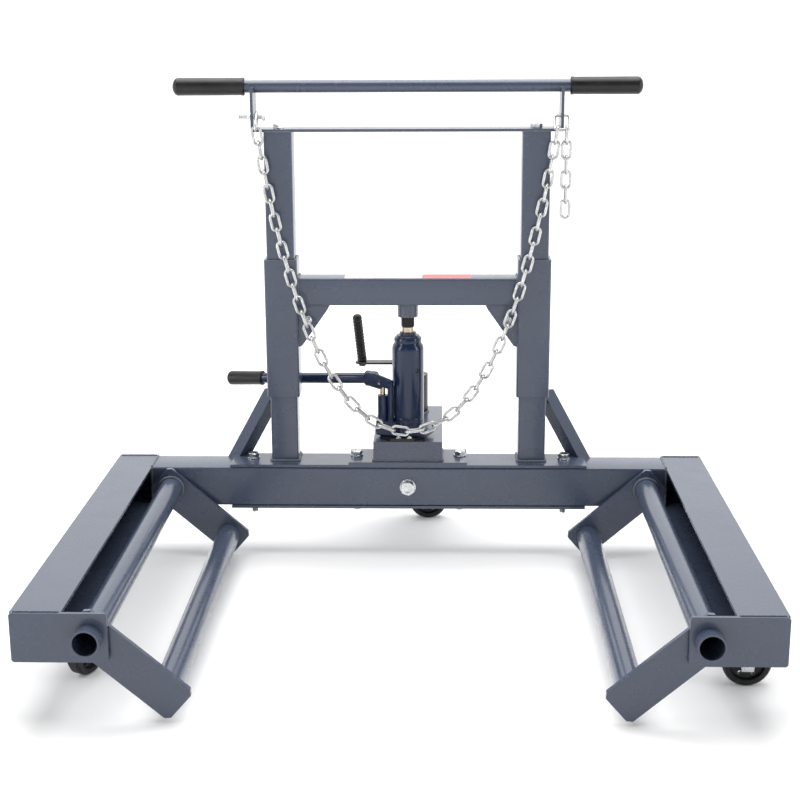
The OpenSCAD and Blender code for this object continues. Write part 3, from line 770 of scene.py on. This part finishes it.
for tag, x, y, turn, base_body, fork_body, wheel_body in (
    ("left", -500, -545, 65, "base", "fork_left", "wheel_left"),
    ("right", 500, -545, 0, "base", "fork_right", "wheel_right"),
    ("jockey", COLUMN_X, COLUMN_Y, 0, "jockey_tube", "jockey_fork", "jockey_wheel"),
):
    home = caster(x, y, turn)
    bm = bmesh.new()
    race = [(19, -8.2), (24.6, -8.2), (25.4, -8.8), (25.6, -11), (25.2, -13.4), (24.2, -14), (19, -14)]
    lathe(bm, race, home, 64, closed=True)
    axle = home @ Matrix.Translation(Vector((TRAIL * MM, 0, -AXLE_DROP * MM)))
    for side, flip in ((1, -90), (-1, 90)):
        end = axle @ Matrix.Rotation(math.radians(flip), 4, "X")
        hexagon(bm, 13, 16.6, 21.6, end, dome=0.2)
        lathe(bm, [(0, 21), (3.8, 21), (3.8, 22.6), (3.2, 23.2), (0, 23.2)], end, 24)
    add_piece(f"caster_race_{tag}", bm, fork_body, "zinc_plate")
    bm = bmesh.new()
    for sx in (-22, 22):
        for sy in (-27, 27):
            spot = caster(x, y, 0) @ Matrix.Translation(Vector((sx * MM, sy * MM, 0)))
            hexagon(bm, 10, -9, -4, spot)
    add_piece(f"caster_plate_bolts_{tag}", bm, base_body, "zinc_plate")
    bm = bmesh.new()
    for flip in (-90, 90):
        end = axle @ Matrix.Rotation(math.radians(flip), 4, "X")
        lathe(bm, [(5.2, 11.9), (11.6, 11.9), (12, 12.3), (11.6, 12.8), (8, 13.1), (5.2, 13.1)],
              end, 40, closed=True)
        lathe(bm, [(27.6, 10.6), (33, 10.9), (34.2, 11.2), (34.2, 10.4), (27.6, 10.4)], end, 64,
              closed=True)
    add_piece(f"wheel_hub_rings_{tag}", bm, wheel_body, "wheel_black")

# ---------------------------------------------------------------- welds
PIVOT_X = 440
LINK_REACH = 138
LINK_FALL_ANGLE = math.radians(41)


def square_run(x, y, z, half):
    """The four corners of a level square in mm."""
    corners = ((-half, -half), (half, -half), (half, half), (-half, half))
    return [(x + dx, y + dy, z) for dx, dy in corners]


bm = bmesh.new()
for s in (-1, 1):
    bead(bm, square_run(s * POST_X, POST_Y, DECK + 0.8, 25.4), 2.6, closed=True)
    bead(bm, [(s * 205.5, 24, 787), (s * 254.5, 24, 787)], 1.5)
    bead(bm, [(s * 330, 1.5, 173.4), (s * 330, 73.5, 173.4)], 1.9)
    bead(bm, [(s * 478, -0.8, 99), (s * 478, -0.8, 172)], 2.2)
    bead(bm, [(s * 478, 1, 173), (s * 478, 72, 173)], 1.8)
    bead(bm, [(s * 549.6, 75.2, 101), (s * 549.6, 75.2, 170)], 1.4)
    bead(bm, [(s * 481, 75.4, 173), (s * 549, 75.4, 173)], 1.6)
    bead(bm, [(s * 481, -693.7, 173), (s * 548, -693.7, 173)], 1.7)
    bead(bm, [(s * 272.5, 25.5, BAR_Z - 0.8), (s * 272.5, 72.5, BAR_Z - 0.8)], 1.2)
    bead(bm, [(s * 231, 74.6, 273), (s * 231, 74.6, 295)], 1.5)
    bead(bm, [(s * 259, 74.6, 273), (s * 259, 74.6, 295)], 1.5)
bead(bm, [(-64.5, 6.5, 183.6), (64.5, 6.5, 183.6)], 1.8)
for s in (-1, 1):
    bead(bm, [(s * 64.5, 7, 183.6), (s * 64.5, 86, 183.6)], 1.9)
bead(bm, flat_ring(COLUMN_X, COLUMN_Y, 221.4, 26, 12), 1.9, closed=True)
add_piece("base_welds", bm, "base", "weld", smooth=70)

bm = bmesh.new()
for s in (-1, 1):
    bead(bm, [(s * 199.6, 24.6, 475), (s * 199.6, 24.6, 523)], 1.9)
    bead(bm, [(s * 199.6, 25, 524), (s * 199.6, 73, 524)], 1.9)
    bead(bm, [(s * 199.6, 30, 400), (s * 199.6, 30, 472)], 1.4)
    bead(bm, [(s * 143, 30, 473.8), (s * 198, 30, 473.8)], 1.4)
bead(bm, flat_ring(0, POST_Y, 473.6, 19.4, 15), 1.6, closed=True)
add_piece("carriage_welds", bm, "carriage", "weld", smooth=70)

for side, s in (("left", -1), ("right", 1)):
    bm = bmesh.new()
    for y, size in ((-680.9, 2.4), (-15.2, 3.0)):
        bead(bm, upright_ring(s * PIVOT_X, y, BEAM_Z, 21.9, 12), size, closed=True)
    roller_x = s * (PIVOT_X - LINK_REACH * math.cos(LINK_FALL_ANGLE))
    roller_z = BEAM_Z - LINK_REACH * math.sin(LINK_FALL_ANGLE)
    bead(bm, upright_ring(roller_x, -5.8, roller_z, 9.6, 15), 1.7, closed=True)
    add_piece(f"swing_welds_{side}", bm, f"swing_frame_{side}", "weld", smooth=70)

# ---------------------------------------------------------------- plain label patches
for tag, x0, x1, low, high in (
    ("pale", -115, 27, (0.72, 0.56, 0.56), (0.82, 0.68, 0.67)),
    ("red", 29, 115, (0.50, 0.03, 0.03), (0.62, 0.05, 0.045)),
):
    MAT[f"label_{tag}"] = printed(f"label_{tag}", low, high)
    bm = bmesh.new()
    rows = []
    for inset, lift in ((0.0, 0.0), (0.0, 0.12), (0.3, 0.22)):
        outline = rounded_square(x1 - x0 - 2 * inset, 40 - 2 * inset, 2.5)
        centre, top = (x0 + x1) / 2, CROSSBAR_TOP + lift
        rows.append([bm.verts.new(pt(centre + x, POST_Y + y, top)) for x, y in outline])
    solid(bm, rows)
    bmesh.ops.recalc_face_normals(bm, faces=bm.faces)
    patch = link_mesh(f"label_patch_{tag}", bm, MAT[f"label_{tag}"])
    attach(patch, "carriage")

# ---------------------------------------------------------------- floor, lights, camera
def floor_material():
    """Matt white floor that grows brighter away from the part, so it meets the backdrop."""
    s = Shader("studio_floor")
    tone = s.ramp(s.noise(1.6, 3.0), [(0.3, (0.82, 0.82, 0.82)), (0.7, (0.84, 0.84, 0.84))])
    s.bsdf.inputs["Emission Color"].default_value = (1.0, 1.0, 1.0, 1.0)
    far = s.node("ShaderNodeVectorMath", {0: s.coord}, operation="LENGTH").outputs["Value"]
    lift = s.node("ShaderNodeMapRange", {"Value": far, "From Min": 0.9, "From Max": 2.4})
    lift.inputs["To Min"].default_value = 0.08
    lift.inputs["To Max"].default_value = 0.6
    s.tree.links.new(lift.outputs[0], s.bsdf.inputs["Emission Strength"])
    return s.set(Base_Color=tone, Roughness=0.9, Normal=s.bump(s.noise(60.0), 0.05, 0.0004))


bm = bmesh.new()
bmesh.ops.create_grid(bm, x_segments=12, y_segments=12, size=30.0)
stage_objects = [link_mesh("studio_floor", bm, floor_material())]


def softbox(name, at, target, width, height, power):
    """A white rectangular light in metres and watts, aimed at a point."""
    data = bpy.data.lights.new(name, "AREA")
    data.shape = "RECTANGLE"
    data.size = width
    data.size_y = height
    data.energy = power
    lamp = bpy.data.objects.new(name, data)
    lamp.location = at
    lamp.rotation_euler = (Vector(target) - Vector(at)).to_track_quat("-Z", "Y").to_euler()
    bpy.context.scene.collection.objects.link(lamp)
    stage_objects.append(lamp)


softbox("top_box", (0.0, 0.5, 3.0), (0, 0.1, 0.4), 3.2, 2.6, 105)
softbox("left_box", (-2.8, -1.2, 1.7), (0, 0, 0.45), 0.7, 2.4, 34)
softbox("right_box", (2.9, -0.8, 1.5), (0, 0, 0.45), 0.6, 2.4, 24)
softbox("front_box", (-1.2, -4.0, 2.2), (0, 0, 0.4), 0.8, 1.6, 6)

world = bpy.data.worlds.new("studio")
bpy.context.scene.world = world
world.use_nodes = True
tree = world.node_tree
background = tree.nodes["Background"]
# A white studio behind the part (+Y) that grows dimmer towards the open side (-Y). Low over
# the floor it's white all round, so that a low view from behind has a white backdrop too.
direction = tree.nodes.new("ShaderNodeTexCoord").outputs["Generated"]
parts = tree.nodes.new("ShaderNodeSeparateXYZ")
tree.links.new(direction, parts.inputs[0])
sweep = tree.nodes.new("ShaderNodeMapRange")
sweep.inputs["From Min"].default_value = -0.35
sweep.inputs["From Max"].default_value = 0.25
sweep.inputs["To Min"].default_value = 0.14
sweep.inputs["To Max"].default_value = 1.3
tree.links.new(parts.outputs["Y"], sweep.inputs["Value"])
skyline = tree.nodes.new("ShaderNodeMapRange")
skyline.inputs["From Min"].default_value = 0.17
skyline.inputs["From Max"].default_value = 0.13
skyline.inputs["To Max"].default_value = 1.05
tree.links.new(parts.outputs["Z"], skyline.inputs["Value"])
brighter = tree.nodes.new("ShaderNodeMath")
brighter.operation = "MAXIMUM"
tree.links.new(sweep.outputs[0], brighter.inputs[0])
tree.links.new(skyline.outputs[0], brighter.inputs[1])
tree.links.new(brighter.outputs[0], background.inputs["Strength"])
background.inputs["Color"].default_value = (1.0, 1.0, 1.0, 1.0)

# the camera's turns in radians, its place in metres and its lens in millimetres
PITCH, YAW, ROLL = 0.257, 0.028, -0.005
CAMERA_AT = (0.0554, -2.4468, 1.0063)
FOCAL_LENGTH = 67.87
right = Vector((math.cos(YAW), math.sin(YAW), 0))
ahead = Vector((-math.sin(YAW) * math.cos(PITCH), math.cos(YAW) * math.cos(PITCH), -math.sin(PITCH)))
above = Vector((-math.sin(YAW) * math.sin(PITCH), math.cos(YAW) * math.sin(PITCH), math.cos(PITCH)))
side_axis = math.cos(ROLL) * right + math.sin(ROLL) * above
top_axis = math.cos(ROLL) * above - math.sin(ROLL) * right
lens = bpy.data.cameras.new("main_camera")
lens.lens = FOCAL_LENGTH
lens.sensor_width = 36.0
lens.clip_end = 60.0
camera = bpy.data.objects.new("main_camera", lens)
camera.matrix_world = Matrix.Translation(CAMERA_AT) @ Matrix(
    (side_axis, top_axis, -ahead)
).transposed().to_4x4()
bpy.context.scene.collection.objects.link(camera)
bpy.context.scene.camera = camera
bpy.context.scene.view_settings.view_transform = "Standard"
